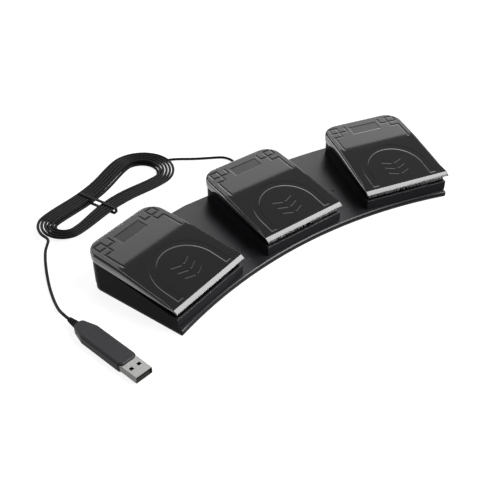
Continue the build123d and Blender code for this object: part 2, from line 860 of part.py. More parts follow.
with BuildPart() as lead_core:
    with BuildLine():
        route = FilletPolyline(*core_route, radius=corner_radii(core_route))
    with BuildSketch(Plane(origin=route @ 0, z_dir=route % 0)):
        Circle(wire_radius)
    sweep(path=route)

# Hank of the lead: a chain of circles joined by their shared tangents, one strand wide
hank_x = Vector(cos(radians(hank_turn)), sin(radians(hank_turn)), 0)
hank_seat = Plane(origin=(hank_centre_x, hank_centre_y, 0), x_dir=hank_x, z_dir=(0, 0, 1))
low_layer = tie_thickness + tie_gap + cable_radius
high_layer = low_layer + hank_layer_rise
low_offsets = [low_first_offset + low_pitch * loop for loop in range(low_loops)]
high_offsets = [high_pitch * loop for loop in reversed(range(high_loops))]


def waist_circle(side, offset_in, height):
    """Circle that draws a strand in at the waist, on the far (1) or near (-1) side."""
    return ((0, side * (hank_waist_half + hank_waist_radius)), -(hank_waist_radius + offset_in), height)


entry_reach = hank_right_radius - low_first_offset + entry_bend_radius + bend_joint
leave_reach = hank_left_radius + leave_bend_radius + bend_joint
entry_centre = (
    hank_half_span + entry_reach * cos(radians(entry_bend_turn)),
    entry_reach * sin(radians(entry_bend_turn)),
)
leave_centre = (
    -hank_half_span + leave_reach * cos(radians(leave_bend_turn)),
    leave_reach * sin(radians(leave_bend_turn)),
)
circles = [(entry_centre, -entry_bend_radius, low_layer)]
loops = [(off, -low_pitch / 2, low_layer) for off in low_offsets]
loops.append((high_offsets[0], climb_draw_in, high_layer))
loops += [(off, high_pitch / 2, high_layer) for off in high_offsets[1:]]
for loop, (off, half_step, height) in enumerate(loops):
    if loop > 0:
        circles.append(waist_circle(-1, off + half_step, height))
    circles.append(((hank_half_span, 0), hank_right_radius - off, height))
    circles.append(waist_circle(1, off, height))
    circles.append(((-hank_half_span, 0), hank_left_radius - off, height))
circles.append((leave_centre, -leave_bend_radius, high_layer))


def shared_heading(first, second, last):
    """Heading in degrees of the line that touches two circles, turned on from the last heading."""
    (ax, ay), a_radius, _ = first
    (bx, by), b_radius, _ = second
    heading = degrees(atan2(by - ay, bx - ax) - asin((b_radius - a_radius) / hypot(bx - ax, by - ay)))
    wanted = 1 if a_radius > 0 else -1
    while wanted * (heading - last) < 0:
        heading += wanted * 360
    while wanted * (heading - last) > 360:
        heading -= wanted * 360
    return heading


def circle_point(circle, heading):
    """Point where a strand runs round a circle at a heading; a negative radius turns clockwise."""
    (x, y), radius, height = circle
    return Vector(x + radius * sin(radians(heading)), y - radius * cos(radians(heading)), height)


def along(heading):
    """Unit vector at a heading on the floor."""
    return Vector(cos(radians(heading)), sin(radians(heading)), 0)


headings = [entry_heading]
for first, second in zip(circles, circles[1:]):
    headings.append(shared_heading(first, second, headings[-1]))
headings.append(leave_heading)
while headings[-1] > headings[-2]:
    headings[-1] -= 360

hank_start = circle_point(circles[0], headings[0]) - along(headings[0]) * hank_stub
hank_end = circle_point(circles[-1], headings[-1]) + along(headings[-1]) * hank_stub
with BuildLine() as hank_line:
    Line(hank_start, circle_point(circles[0], headings[0]))
    for circle, heading_in, heading_out in zip(circles, headings, headings[1:]):
        (x, y), radius, height = circle
        quarter = -90 if radius > 0 else 90
        CenterArc((x, y, height), abs(radius), heading_in + quarter, heading_out - heading_in)
    for first, second, heading in zip(circles, circles[1:], headings[1:]):
        leave = circle_point(first, heading)
        reach = circle_point(second, heading)
        if leave.Z == reach.Z:
            Line(leave, reach)
        else:
            TangentArc(leave, (leave + reach) / 2, tangent=along(heading))
            TangentArc(reach, (leave + reach) / 2, tangent=along(heading) * -1)
    Line(circle_point(circles[-1], headings[-1]), hank_end)

with BuildPart() as hank_tube:
    hank_route = hank_line.wires()[0]
    with BuildSketch(Plane(origin=hank_start, z_dir=along(entry_heading))):
        Circle(cable_radius)
    sweep(path=hank_route)
with BuildPart() as cable_hank:
    add(hank_tube.part.moved(hank_seat.location))

spots = [hank_route @ (step / hank_samples) for step in range(hank_samples + 1)]
skip = int(hank_own_reach * cable_diameter * hank_samples / hank_route.length)
least = min(
    (spots[far] - spots[near]).length
    for near in range(0, hank_samples, hank_sample_step)
    for far in range(near + skip, hank_samples, hank_sample_step)
)
print("hank", round(hank_route.length, 1), "long, least gap to itself", round(least - cable_diameter, 2))

# Band round the waist of the hank, closed under and over the strands
band_low = tie_thickness / 2
band_high = high_layer + cable_radius + tie_gap + tie_thickness / 2
band_half = hank_waist_half + tie_spread + cable_radius + tie_gap + tie_thickness / 2
band_spot = hank_seat.from_local_coords((tie_shift, 0, 0))
band_plane = Plane(origin=band_spot, x_dir=hank_seat.y_dir, z_dir=hank_x)
with BuildPart() as hank_tie:
    with BuildSketch(band_plane.offset(-tie_width / 2)):
        with Locations((0, (band_low + band_high) / 2)):
            RectangleRounded(
                2 * band_half + tie_thickness, band_high - band_low + tie_thickness, tie_corner_radius
            )
            RectangleRounded(
                2 * band_half - tie_thickness,
                band_high - band_low - tie_thickness,
                tie_corner_radius - tie_thickness,
                mode=Mode.SUBTRACT,
            )
    extrude(amount=tie_width)

# Free stretches of the lead: from the base to the hank and from the hank to the plug
plug_forward = Vector(sin(radians(plug_turn)), -cos(radians(plug_turn)), 0)
plug_seat = Plane(origin=(plug_entry_x, plug_entry_y, 0), x_dir=plug_forward, z_dir=(0, 0, 1))
hank_from = hank_seat.from_local_coords(hank_start)
hank_to = hank_seat.from_local_coords(hank_end)
hank_in = along(entry_heading + hank_turn)
hank_out = along(leave_heading + hank_turn)
lead_last = hank_from - hank_in * lead_last_run
tail_first = hank_to + hank_out * tail_first_run
tail_last = plug_seat.from_local_coords((-tail_last_run, 0, plug_seam))
grommet_tip = lip_place + box_depth + grommet_length
lead_route = [
    (cable_exit_across, grommet_tip, cable_exit_height),
    (cable_exit_across, grommet_tip + lead_first_run, cable_exit_height),
    *[(across, lip_place + behind, height) for across, behind, height in lead_corners],
    (lead_last.X, lead_last.Y, lead_last.Z),
    (hank_from.X, hank_from.Y, hank_from.Z),
]
tail_route = [
    (hank_to.X, hank_to.Y, hank_to.Z),
    (tail_first.X, tail_first.Y, tail_first.Z),
    *[(across, lip_place + behind, height) for across, behind, height in tail_corners],
    (tail_last.X, tail_last.Y, tail_last.Z),
    (plug_entry_x, plug_entry_y, plug_seam),
]

with BuildPart() as cable_lead:
    with BuildLine():
        route = FilletPolyline(*lead_route, radius=corner_radii(lead_route))
    with BuildSketch(Plane(origin=route @ 0, z_dir=route % 0)):
        Circle(cable_radius)
    sweep(path=route)
print("lead length", round(route.length, 1), "least bend wanted", smallest_bend_diameters * cable_diameter)

with BuildPart() as cable_tail:
    with BuildLine():
        route = FilletPolyline(*tail_route, radius=corner_radii(tail_route))
    with BuildSketch(Plane(origin=route @ 0, z_dir=route % 0)):
        Circle(cable_radius)
    sweep(path=route)
print("tail length", round(route.length, 1), "least bend wanted", smallest_bend_diameters * cable_diameter)

# Ribbed boot of the plug with its neck and its flange inside the housing
plug_side = Plane(origin=plug_seat.from_local_coords((0, 0, plug_seam)), x_dir=plug_forward, z_dir=plug_seat.y_dir)
with BuildPart() as plug_boot:
    with BuildSketch(plug_side):
        with BuildLine():
            Polyline(
                (0, 0),
                (0, boot_rear_radius),
                (boot_length, boot_front_radius),
                (boot_length, boot_neck_radius),
                (boot_length + plug_wall, boot_neck_radius),
                (boot_length + plug_wall, boot_front_radius),
                (boot_length + 2 * plug_wall, boot_front_radius),
                (boot_length + 2 * plug_wall, 0),
                close=True,
            )
        make_face()
    revolve(axis=Axis(plug_side.origin, plug_forward))
    for rib in range(boot_ribs):
        groove = (rib + boot_groove_share) * boot_length / boot_ribs
        outer = boot_rear_radius + (boot_front_radius - boot_rear_radius) * groove / boot_length
        with BuildSketch(plug_side):
            with Locations((groove, outer)):
                Rectangle(boot_length / boot_ribs - boot_rib_width, 2 * boot_rib_depth)
        revolve(axis=Axis(plug_side.origin, plug_forward), mode=Mode.SUBTRACT)

# Housing of the plug in two half shells
housing_start = boot_length
housing_end = boot_length + plug_housing_length
shell_start = housing_end - usb_hidden
with BuildPart() as plug_block:
    with BuildSketch(plug_seat) as outline:
        Polygon(
            (housing_start, -plug_nose_width / 2),
            (housing_start + plug_shoulder_length, -plug_housing_width / 2),
            (housing_end, -plug_housing_width / 2),
            (housing_end, plug_housing_width / 2),
            (housing_start + plug_shoulder_length, plug_housing_width / 2),
            (housing_start, plug_nose_width / 2),
            align=None,
        )
        fillet(
            [v for v in outline.vertices() if plug_seat.to_local_coords(Vector(v)).X < housing_end - plug_wall],
            radius=plug_nose_radius,
        )
    extrude(amount=plug_housing_height)
    rims = plug_block.edges().group_by(Axis.Z)
    fillet(rims[-1] + rims[0], radius=plug_edge_radius)

with BuildPart() as plug_hollow:
    with BuildSketch(plug_seat.offset(plug_wall)):
        Polygon(
            (housing_start + plug_wall, -plug_nose_width / 2 + plug_wall),
            (housing_start + plug_shoulder_length, -plug_housing_width / 2 + plug_wall),
            (shell_start, -plug_housing_width / 2 + plug_wall),
            (shell_start, plug_housing_width / 2 - plug_wall),
            (housing_start + plug_shoulder_length, plug_housing_width / 2 - plug_wall),
            (housing_start + plug_wall, plug_nose_width / 2 - plug_wall),
            align=None,
        )
    extrude(amount=plug_housing_height - 2 * plug_wall)
    with BuildSketch(plug_seat.offset(plug_seam)):
        with Locations(((shell_start + housing_end) / 2, 0)):
            Rectangle(usb_hidden, usb_width + 2 * usb_clearance)
    extrude(amount=usb_height / 2 + usb_clearance, both=True)
    with BuildSketch(Plane(origin=plug_side.origin, z_dir=plug_forward).offset(housing_start)):
        Circle(boot_neck_radius + usb_clearance)
    extrude(amount=2 * plug_wall)
    with BuildSketch(Plane(origin=plug_side.origin, z_dir=plug_forward).offset(housing_start + plug_wall)):
        Circle(boot_front_radius + usb_clearance)
    extrude(amount=2 * plug_wall)

with BuildPart() as plug_top_shell:
    add(plug_block.part)
    add(plug_hollow.part, mode=Mode.SUBTRACT)
    split(bisect_by=Plane.XY.offset(plug_seam), keep=Keep.TOP)

with BuildPart() as plug_bottom_shell:
    add(plug_block.part)
    add(plug_hollow.part, mode=Mode.SUBTRACT)
    split(bisect_by=Plane.XY.offset(plug_seam), keep=Keep.BOTTOM)
    with BuildSketch(plug_seat.offset(plug_wall)):
        with Locations((ledge_first, 0), (ledge_second, 0)):
            Rectangle(plug_wall, plug_housing_width - 2 * plug_wall)
    extrude(amount=plug_seam - plug_board_thickness / 2 - plug_wall)

# Metal shell of the plug with its windows, the tongue inside it and the contacts
usb_end = housing_end + usb_exposed
usb_plane = Plane(origin=plug_side.origin, x_dir=plug_seat.y_dir, z_dir=plug_forward)
with BuildPart() as usb_shell:
    with BuildSketch(usb_plane.offset(shell_start)):
        RectangleRounded(usb_width, usb_height, usb_corner_radius)
        RectangleRounded(
            usb_width - 2 * usb_wall, usb_height - 2 * usb_wall, usb_corner_radius - usb_wall, mode=Mode.SUBTRACT
        )
    extrude(amount=usb_hidden + usb_exposed)
    with BuildSketch(plug_seat.offset(plug_seam)):
        with Locations((usb_end - usb_window_set_back, 0)):
            with GridLocations(0, usb_window_spacing, 1, 2):
                Rectangle(usb_window, usb_window)
    extrude(amount=usb_height, mode=Mode.SUBTRACT)

inner_half = usb_height / 2 - usb_wall
tongue_width = usb_width - 2 * usb_wall - 2 * tongue_gap
with BuildPart() as usb_tongue:
    with BuildSketch(plug_seat.offset(plug_seam - inner_half)):
        with Locations(((shell_start + usb_end - tongue_tip_set_back) / 2, 0)):
            Rectangle(usb_end - tongue_tip_set_back - shell_start, tongue_width)
    extrude(amount=tongue_thickness)
    with BuildSketch(plug_seat.offset(plug_seam - inner_half)):
        with Locations((shell_start + usb_hidden / 2, 0)):
            Rectangle(usb_hidden, tongue_width)
    extrude(amount=2 * inner_half)

with BuildPart() as usb_contacts:
    with BuildSketch(plug_seat.offset(plug_seam - inner_half + tongue_thickness)):
        with Locations((usb_end - contact_set_back - contact_length / 2, 0)):
            with GridLocations(0, contact_pitch, 1, 4):
                Rectangle(contact_length, contact_width)
    extrude(amount=contact_thickness)

with BuildPart() as plug_board:
    with BuildSketch(plug_seat.offset(plug_seam - plug_board_thickness / 2)):
        with Locations((shell_start - plug_board_length / 2, 0)):
            Rectangle(plug_board_length, plug_board_width)
    extrude(amount=plug_board_thickness)

# Files: the pieces of the base, the three sets of pedal pieces, the lead and the plug
single_pieces = {
    "base_shell": base_shell,
    "bottom_plate": bottom_plate,
    "base_screws": base_screws,
    "rubber_feet": rubber_feet,
    "control_spacers": control_spacers,
    "control_board": control_board,
    "control_parts": control_parts,
    "left_wires": left_wires,
    "middle_wires": middle_wires,
    "right_wires": right_wires,
    "lead_core": lead_core,
    "cable_grommet": cable_grommet,
    "cable_lead": cable_lead,
    "cable_hank": cable_hank,
    "hank_tie": hank_tie,
    "cable_tail": cable_tail,
    "plug_boot": plug_boot,
    "plug_top_shell": plug_top_shell,
    "plug_bottom_shell": plug_bottom_shell,
    "usb_shell": usb_shell,
    "usb_tongue": usb_tongue,
    "usb_contacts": usb_contacts,
    "plug_board": plug_board,
}
pedal_pieces = {
    "cover": pedal_cover,
    "hinge_pin": hinge_pin,
    "return_spring": return_spring,
    "bump_stop": bump_stop,
    "switch_board": switch_board,
    "switch_body": switch_body,
    "switch_plunger": switch_plunger,
    "board_screws": board_screws,
}
for name, piece in single_pieces.items():
    piece.part.label = name
    export_step(piece.part, f"parts/{name}.step")
for side, seat in seats.items():
    for name, piece in pedal_pieces.items():
        placed = piece.part.moved(seat.location)
        placed.label = f"{side}_{name}"
        export_step(placed, f"parts/{side}_{name}.step")
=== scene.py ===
"""A three-pedal foot switch with its coiled lead and stick plug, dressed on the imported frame."""
import json
import math

import bpy
import numpy as np
from mathutils import Matrix, Vector


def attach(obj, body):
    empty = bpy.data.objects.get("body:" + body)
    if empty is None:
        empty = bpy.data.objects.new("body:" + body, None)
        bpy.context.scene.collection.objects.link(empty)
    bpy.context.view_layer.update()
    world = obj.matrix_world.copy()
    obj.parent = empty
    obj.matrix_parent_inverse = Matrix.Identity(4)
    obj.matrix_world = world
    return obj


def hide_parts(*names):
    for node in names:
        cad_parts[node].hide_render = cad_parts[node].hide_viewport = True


bl_info = {
    "name": "Pedal foot switch",
    "version": (1, 0, 0),
    "blender": (4, 5, 0),
    "location": "View3D > Sidebar > Foot switch",
    "description": "Builds the looks of a three-pedal foot switch on its packed frame",
    "category": "Object",
}

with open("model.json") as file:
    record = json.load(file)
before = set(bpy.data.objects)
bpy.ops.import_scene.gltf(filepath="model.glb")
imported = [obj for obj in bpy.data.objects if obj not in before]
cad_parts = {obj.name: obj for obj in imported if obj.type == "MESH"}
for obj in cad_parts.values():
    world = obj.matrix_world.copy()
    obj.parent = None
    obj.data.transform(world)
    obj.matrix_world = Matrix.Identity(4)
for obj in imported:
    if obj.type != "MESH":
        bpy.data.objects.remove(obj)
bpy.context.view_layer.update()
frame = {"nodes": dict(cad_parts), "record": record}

MM = 0.001
# Three pedals on an arc: each is turned by FAN from the next, its lip lies LIP_RADIUS from the arc's centre, and
# that centre lies ARC_BACK in front of the origin. LIP_PLACE is the depth of the middle lip, in millimetres.
FAN = math.radians(15.25)
LIP_RADIUS = 326.0 * MM
ARC_BACK = 353.0858 * MM
LIP_PLACE = (LIP_RADIUS - ARC_BACK) / MM
SIDES = {"left": -FAN, "middle": 0.0, "right": FAN}


def linear(hex_colour):
    """sRGB hex to linear RGBA, because shader sockets take linear light."""
    channels = np.array([int(hex_colour[i:i + 2], 16) for i in (1, 3, 5)]) / 255
    light = np.where(channels <= 0.04045, channels / 12.92, ((channels + 0.055) / 1.055) ** 2.4)
    return (*light.tolist(), 1.0)


def node(tree, kind, links=(), **settings):
    """Adds one node, sets its properties or inputs by name, and links (input, source socket) pairs."""
    made = tree.nodes.new(kind)
    for name, value in settings.items():
        if hasattr(made, name):
            setattr(made, name, value)
        else:
            made.inputs[name.replace("_", " ")].default_value = value
    for name, source in links:
        tree.links.new(source, made.inputs[name])
    return made


def seat(turn):
    """Frame of one pedal on the floor: origin under its lip, x to the right, y to the rear."""
    origin = np.array([LIP_RADIUS * math.sin(turn), LIP_RADIUS * math.cos(turn) - ARC_BACK, 0.0])
    across = np.array([math.cos(turn), -math.sin(turn), 0.0])
    back = np.array([math.sin(turn), math.cos(turn), 0.0])
    return origin, across, back


def mesh_piece(name, points, faces, material, smooth=True):
    """Makes a mesh object at the origin from arrays of points and faces."""
    mesh = bpy.data.meshes.new(name)
    mesh.from_pydata(points.tolist(), [], faces.tolist())
    mesh.validate()
    mesh.polygons.foreach_set("use_smooth", np.full(len(mesh.polygons), smooth))
    mesh.materials.append(material)
    made = bpy.data.objects.new(name, mesh)
    bpy.context.scene.collection.objects.link(made)
    return made


def quads(index):
    """Faces of a grid of point numbers: each joins two neighbours in one row with the same two in the next row."""
    return np.stack([index[:-1, :-1], index[:-1, 1:], index[1:, 1:], index[1:, :-1]], axis=-1).reshape(-1, 4)


# Cover of a pedal, in millimetres in the pedal's own frame: x across from its middle, y back from its lip
FRONT_HALF, REAR_HALF, DEPTH, CORNER = 33.0, 31.5, 76.0, 10.0
# Depth and height of the bevelled lip's rear edge, and of the crease between the two slopes
LIP, CREASE = (3.0, 18.9), (46.4, 27.1)
TIP_HEIGHT, REAR_HEIGHT = 17.0, 30.4
CREASE_REACH, LIP_CROWN, LIP_SOFTNESS = 3.0, 0.05, 0.15


def half_width(y):
    """Half the cover's width at a depth: a straight taper, less what a quarter circle takes off at the rear."""
    side = FRONT_HALF + (REAR_HALF - FRONT_HALF) * y / DEPTH
    into = np.clip(y - (DEPTH - CORNER), 0, CORNER)
    return side - (CORNER - np.sqrt(np.maximum(CORNER**2 - into**2, 0)))


def top_height(y):
    """Height of the cover's top.

    The two slopes are joined by a parabola about the crease. The lip is a steeper line with a
    slight crown. The lower of lip and slope counts, blended over LIP_SOFTNESS where they meet and
    lifted there by what the blend takes off.
    """
    slope = (CREASE[1] - LIP[1]) / (CREASE[0] - LIP[0])
    rear = (REAR_HEIGHT - CREASE[1]) / (DEPTH - CREASE[0])
    bend = np.clip((y - CREASE[0] + CREASE_REACH) / (2 * CREASE_REACH), 0, 1)
    beyond = np.maximum(y - CREASE[0] - CREASE_REACH, 0)
    grade = slope * y + (rear - slope) * CREASE_REACH * bend**2 + (rear - slope) * beyond
    flat = LIP[1] - slope * LIP[0] + grade
    crown = LIP_CROWN * (1 - (2 * np.clip(y / LIP[0], 0, 1) - 1) ** 2)
    bevel = TIP_HEIGHT + (LIP[1] - TIP_HEIGHT) * y / LIP[0] + crown
    blend = np.sqrt((bevel - flat) ** 2 + LIP_SOFTNESS**2)
    return (flat + bevel - blend) / 2 + LIP_SOFTNESS / 2 * np.exp(-np.abs(y - LIP[0]))


def along_line(x, y, ends):
    """Distance from a grid of points to a straight stroke: to the nearest point between its two ends."""
    (ax, ay), (bx, by) = ends
    dx, dy = bx - ax, by - ay
    share = np.clip(((x - ax) * dx + (y - ay) * dy) / (dx * dx + dy * dy), 0, 1)
    return np.hypot(x - ax - share * dx, y - ay - share * dy)


# Relief in the cover's top. A groove is GROOVE_HALF wide to each side, and flat below GROOVE_FLOOR of its depth.
GROOVE_HALF, GROOVE_FLOOR, SUNK_DEPTH, SUNK_EDGE = 0.85, 0.88, 0.15, 0.6
ARCH_FOOT, ARCH_OUTER, ARCH_INNER, ARCH_END = 16.5, 25.2, 20.8, 5.2
PANEL = (-11.3, 11.3, 60.7, 68.8)
FRET = (
    (14.3, 70.4), (14.3, 65.6), (26.9, 65.6), (26.9, 71.0), (20.6, 71.0), (20.6, 60.8), (26.8, 60.8), (26.8, 46.2),
)
# Tread of chevrons: rows, the first one's depth, the pitch, and each stroke's two ends across and its slant
TREAD_ROWS, TREAD_FIRST, TREAD_PITCH = 3, 12.0, 5.5
TREAD_NEAR, TREAD_FAR, TREAD_SLANT = 1.5, 7.5, 2.4
# Share of the depth on a stroke's middle line, what it loses per millimetre, and the share at its flat floor
TREAD_PEAK, TREAD_FALL, TREAD_FLOOR = 0.4, 0.5, 0.3


def tread_strokes():
    """Straight strokes of the tread inside the arch: a column of split chevrons that open to the rear."""
    lows = [TREAD_FIRST + TREAD_PITCH * row for row in range(TREAD_ROWS)]
    return [
        ((side * TREAD_NEAR, low), (side * TREAD_FAR, low + TREAD_SLANT))
        for low in lows for side in (1, -1)]


def in_panel(x, y):
    """Share of the sunk panel at each point: 1 inside and 0 outside, over a sloped edge of SUNK_EDGE."""
    left, right, near, far = PANEL
    inside = np.minimum(np.minimum(x - left, right - x), np.minimum(y - near, far - y))
    return np.clip(inside / SUNK_EDGE + 0.5, 0, 1)


def engraving(x, y):
    """Depth cut into the top at each point, the deepest of these.

    Each groove falls off with the distance to its nearest stroke: the frets, mirrored to both
    sides, and the fainter tread. The arch is a sunk band between two half circles and the two
    straight runs below them, and the panel is a sunk oblong.
    """
    mirrored = np.abs(x)
    reach = np.min([along_line(mirrored, y, ends) for ends in zip(FRET, FRET[1:])], axis=0)
    groove = np.clip(1 - reach / GROOVE_HALF, 0, GROOVE_FLOOR)
    for ends in tread_strokes():
        groove = np.maximum(groove, np.clip(TREAD_PEAK - TREAD_FALL * along_line(x, y, ends), 0, TREAD_FLOOR))
    across = np.where(y > ARCH_FOOT, np.hypot(x, y - ARCH_FOOT), mirrored)
    inside = np.minimum(np.minimum(across - ARCH_INNER, ARCH_OUTER - across), y - ARCH_END)
    band = np.clip(inside / SUNK_EDGE + 0.5, 0, 1)
    panel = in_panel(x, y)
    depth = bpy.context.scene.foot_switch.engraving_depth / MM
    return np.maximum(depth * groove, SUNK_DEPTH * np.maximum(band, panel))


# Radius of the side edge on the slope, beside the lip and at the rear, and the depths over which it changes
EDGE, TIGHT_EDGE, REAR_EDGE = 1.4, 0.25, 1.8
LIP_BLEND, REAR_BLEND_FROM, REAR_BLEND = 8.0, 20.0, 30.0
# Height of the skirt's rim at the front and rear, its wall, and the thickness over the inner ceiling
SKIRT_FRONT, SKIRT_REAR, WALL, CEILING = 17.4, 24.65, 2.0, 1.1
# Rounded rim of the skirt, from outside to underneath: inset and lift
RIM = ((0.0, 0.3), (0.1, 0.08), (0.35, 0.0))
# From TUCK_FROM on, over TUCK_SPAN, the top's sides draw in towards its rear edge, which is rounded too
TUCK_FROM, TUCK_SPAN = 60, 14.2
# Least half width of the top, drop of the skirt below the edge's round, and height of its inner face
LEAST_HALF, LEAST_SKIRT, LEAST_INNER = 0.1, 0.35, 0.4
# Front of the cover: depth and drop of the curl under the lip, then depth and height of the set-back skirt
LIP_CURL = ((0.15, -0.45), (0.6, -1.0), (1.3, -1.45), (2.0, -1.2), (2.4, -0.2))
FRONT_SKIRT = ((2.4, 17.3), (2.4, 11.9), (2.5, 11.8), (3.8, 11.8), (3.9, 11.9), (3.9, 17.0))
FRONT_SKIRT_INSET = 2.6
# Rows of the grid on and just behind the lip, and columns of the plain inner ceiling
LIP_ROWS, INNER_COLUMNS = 16, 12


def skirt_height(y):
    """Height of the skirt's lower rim at a depth: a straight line that rises to the rear."""
    return SKIRT_FRONT + (SKIRT_REAR - SKIRT_FRONT) * y / DEPTH


def edge_reach(y):
    """Radius of the cover's side edge at a depth: tight beside the lip, then two straight rises to the rear."""
    slope_edge = TIGHT_EDGE + (EDGE - TIGHT_EDGE) * np.clip((y - LIP[0]) / LIP_BLEND, 0, 1)
    return slope_edge + (REAR_EDGE - EDGE) * np.clip((y - REAR_BLEND_FROM) / REAR_BLEND, 0, 1)


def cover_mesh(turn, columns=260, rows=290):
    """One pedal cover as a closed shell.

    The top is a grid of shares across and depths back, with the engraving cut into it. Round
    its left, rear and right edges runs a strip: a quarter-round edge, the skirt down to its
    rim, the rim inwards, the inner face up, and an inner ceiling that closes the shell. In
    front, a curl runs under the lip, and a set-back skirt goes down and up to the ceiling.
    Returns points, faces, and each point's share of the sunk panel, which is duller.
    """
    across = np.linspace(-1, 1, columns)
    lip_rows = np.linspace(0, LIP[0] + 1, LIP_ROWS + 1)[:-1]
    depth = np.concatenate([lip_rows, np.linspace(LIP[0] + 1, DEPTH - REAR_EDGE, rows - LIP_ROWS)])
    share, y = np.meshgrid(across, depth)
    tuck = REAR_EDGE * np.clip((y - TUCK_FROM) / TUCK_SPAN, 0, 1)
    x = share * np.maximum(half_width(y + tuck) - edge_reach(y), LEAST_HALF)
    z = top_height(y) - engraving(x, y)
    top = np.stack([x, y, z], axis=-1).reshape(-1, 3)
    index = np.arange(top.shape[0]).reshape(len(depth), columns)
    points, faces = [top], [quads(index)]
    # Strip round three sides: the rim's points, pushed out along the edge's level normal and set to a height
    rim = np.concatenate([index[:-1, 0], index[-1, :-1], index[::-1, -1]])
    edge = top[rim]
    step = np.gradient(edge[:, :2], axis=0)
    step[0], step[-1] = (0, 1), (0, -1)
    normal = np.stack([-step[:, 1], step[:, 0]], axis=1)
    normal /= np.linalg.norm(normal, axis=1, keepdims=True)
    reach = edge_reach(edge[:, 1])
    low = np.minimum(skirt_height(edge[:, 1]), edge[:, 2] - reach - LEAST_SKIRT)
    round_turn = np.linspace(0, math.pi / 2, 6)[1:]
    rings = [(reach * math.sin(a), edge[:, 2] - reach * (1 - math.cos(a))) for a in round_turn]
    rings += [(reach - inset, low + lift) for inset, lift in RIM]
    rings += [(reach - WALL + inset, low + lift) for inset, lift in RIM[::-1]]
    rings += [(reach - WALL, np.maximum(edge[:, 2] - CEILING, low + LEAST_INNER))]
    strip = [np.column_stack([edge[:, :2] + normal * out[:, None], height]) for out, height in rings]
    points += strip
    strip_index = top.shape[0] + np.arange(len(rings) * len(rim)).reshape(len(rings), len(rim))
    faces.append(quads(np.concatenate([rim[None, :], strip_index]).T))
    # Inner ceiling, straight across between the strip's two last sides
    base = sum(len(p) for p in points)
    inner_left, inner_right = strip[-1][:len(depth)], strip[-1][::-1][:len(depth)]
    mix = np.linspace(0, 1, INNER_COLUMNS)[None, :, None]
    inner = inner_left[:, None, :] * (1 - mix) + inner_right[:, None, :] * mix
    points.append(inner.reshape(-1, 3))
    faces.append(quads(base + np.arange(len(depth) * INNER_COLUMNS).reshape(len(depth), INNER_COLUMNS))[:, ::-1])
    # Front: the curl under the lip and the set-back skirt
    front = top[:columns]
    base = sum(len(p) for p in points)
    narrow = front[:, 0] * (FRONT_HALF - FRONT_SKIRT_INSET) / (FRONT_HALF - TIGHT_EDGE)
    lines = [np.column_stack([front[:, 0], np.full(columns, d), front[:, 2] + h]) for d, h in LIP_CURL]
    lines += [np.column_stack([narrow, np.full(columns, d), np.full(columns, h)]) for d, h in FRONT_SKIRT]
    points.append(np.concatenate(lines))
    line_index = base + np.arange(len(lines) * columns).reshape(len(lines), columns)
    faces.append(quads(np.concatenate([index[:1], line_index]))[:, ::-1])
    local = np.concatenate(points) * MM
    origin, right, back = seat(turn)
    world = origin + local[:, :1] * right + local[:, 1:2] * back + local[:, 2:] * np.array([0, 0, 1.0])
    dull = np.zeros(len(world))
    dull[:top.shape[0]] = in_panel(x, y).ravel()
    return world, np.concatenate(faces), dull


# Hank, in millimetres in its own frame: x along it, y across it. It lies at HANK_CENTRE, turned by HANK_TURN.
HANK_CENTRE, HANK_TURN = np.array([-78.7, 129.3 + LIP_PLACE]), math.radians(17.6)
HALF_SPAN, RIGHT_RADIUS, LEFT_RADIUS = 39.6, 25.0, 19.0
# Each end's first angle, measured from the near side, its sweep, both in degrees, and how many corners it gets
RIGHT_ARC, LEFT_ARC = (-18.7, 217.4, 7), (174.5, 191.0, 6)
WAIST_HALF, WAIST_BOW = 15.5, 0.3
LOW_LEVEL, HIGH_LEVEL = 1.6, 4.05
# Offsets of the turns from the outermost, layer by layer, and of the near waist of the turn that climbs
LOW_FIRST, LOW_PITCH, HIGH_PITCH, CLIMB_OFFSET = 6.25, 2.75, 2.5, 12.0
LOW_OFFSETS = LOW_FIRST + LOW_PITCH * np.arange(3)
HIGH_OFFSETS = HIGH_PITCH * np.arange(5)[::-1]
# The lead joins the first turn at this point of it, and the tail leaves the last turn after this many points
FIRST_POINT, LAST_COUNT = 5, 12


def hank_end(middle, radius, arc):
    """Corners of a polygon whose sides touch a circle at their middles, where the quadratic spline meets it.

    The corners lie at equal angles, at the radius over the cosine of half the angle between two.
    """
    start, sweep, corners = arc
    turn = np.radians(start + sweep * (np.arange(corners) + 0.5) / corners)
    far = radius / math.cos(math.radians(sweep / (2 * corners)))
    return np.stack([middle + far * np.sin(turn), -far * np.cos(turn)], axis=1)


def hank_loop(offset, waist_offset, level):
    """Control points of one turn of the hank, from the near waist round to the left end.

    Each end goes round a circle whose radius is less by the offset, and each waist is one point
    that draws the run inwards. The near waist has its own offset, which leads to the next turn.
    """
    near = np.array([[0.0, -(WAIST_HALF - waist_offset) - WAIST_BOW]])
    right = hank_end(HALF_SPAN, RIGHT_RADIUS - offset, RIGHT_ARC)
    far = np.array([[0.0, WAIST_HALF - offset + WAIST_BOW]])
    left = hank_end(-HALF_SPAN, LEFT_RADIUS - offset, LEFT_ARC)
    plan = np.concatenate([near, right, far, left])
    return np.concatenate([plan, np.full((len(plan), 1), level)], axis=1)


